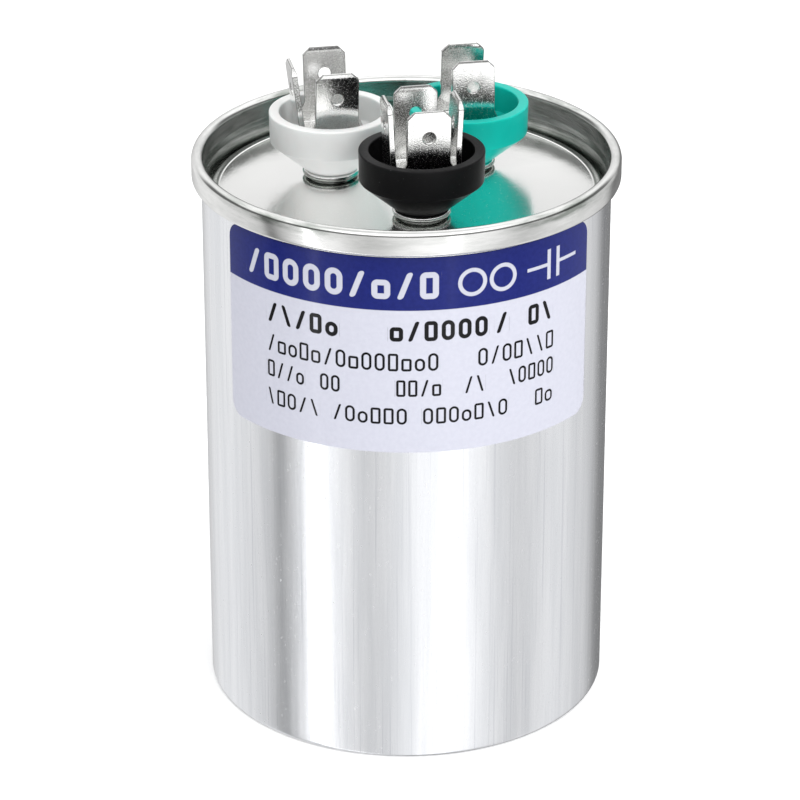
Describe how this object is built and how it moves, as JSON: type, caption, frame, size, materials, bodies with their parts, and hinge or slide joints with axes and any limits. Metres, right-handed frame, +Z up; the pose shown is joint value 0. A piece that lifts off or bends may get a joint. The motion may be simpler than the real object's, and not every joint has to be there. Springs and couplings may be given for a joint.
{
  "type": "motor run capacitor",
  "caption": "Round-can dual motor run capacitor with seamed lid, coloured terminal cups and clusters of quick-connect tabs.",
  "frame": {"origin": "middle of the can's foot, on the surface that it stands on", "axes": "+Z up the can's axis towards the tabs, -Y towards the middle of the label, +X to the right of the label as it is read"},
  "size_m": [0.0628, 0.0628, 0.0975],
  "materials": {
    "can_aluminium": "satin, with fine drawing lines up the wall",
    "lid_tin": "bright tinned sheet, rolled rim",
    "seal_rubber": "matt sealing compound",
    "label_film": "semi-gloss printed film with a dark blue band",
    "white_moulding": "semi-gloss moulding",
    "black_moulding": "satin moulding",
    "green_moulding": "semi-gloss moulding",
    "tab_tin": "hot-tinned, bright with a fine grain",
    "rivet_metal": "bright",
    "washer_board": "matt insulating board",
    "tag_tin": "hot-tinned",
    "lead_tape": "bare tape",
    "winding_film": "metallised film roll",
    "sleeve_board": "matt tube",
    "wrap_film": "clear film wrap",
    "zinc_spray": "rough sprayed zinc",
    "inner_moulding": "natural moulding"
  },
  "bodies": {
    "root": {"can": "can_aluminium", "lid": "lid_tin", "seam_compound": "seal_rubber", "label": "label_film", "white_cup": "white_moulding", "black_cup": "black_moulding", "green_cup": "green_moulding", "white_tabs": "tab_tin", "black_tabs": "tab_tin", "green_tabs": "tab_tin", "white_rivet": "rivet_metal", "black_rivet": "rivet_metal", "green_rivet": "rivet_metal", "white_washer": "washer_board", "black_washer": "washer_board", "green_washer": "washer_board", "white_tag": "tag_tin", "black_tag": "tag_tin", "green_tag": "tag_tin", "white_lead": "lead_tape", "black_lead": "lead_tape", "green_lead": "lead_tape", "outer_winding": "winding_film", "inner_winding": "winding_film", "section_sleeve": "sleeve_board", "core_tube": "sleeve_board", "winding_wrap": "wrap_film", "bottom_spray": "zinc_spray", "outer_spray": "zinc_spray", "inner_spray": "zinc_spray", "disconnect_disc": "inner_moulding", "bottom_cup": "inner_moulding"}
  },
  "joints": []
}
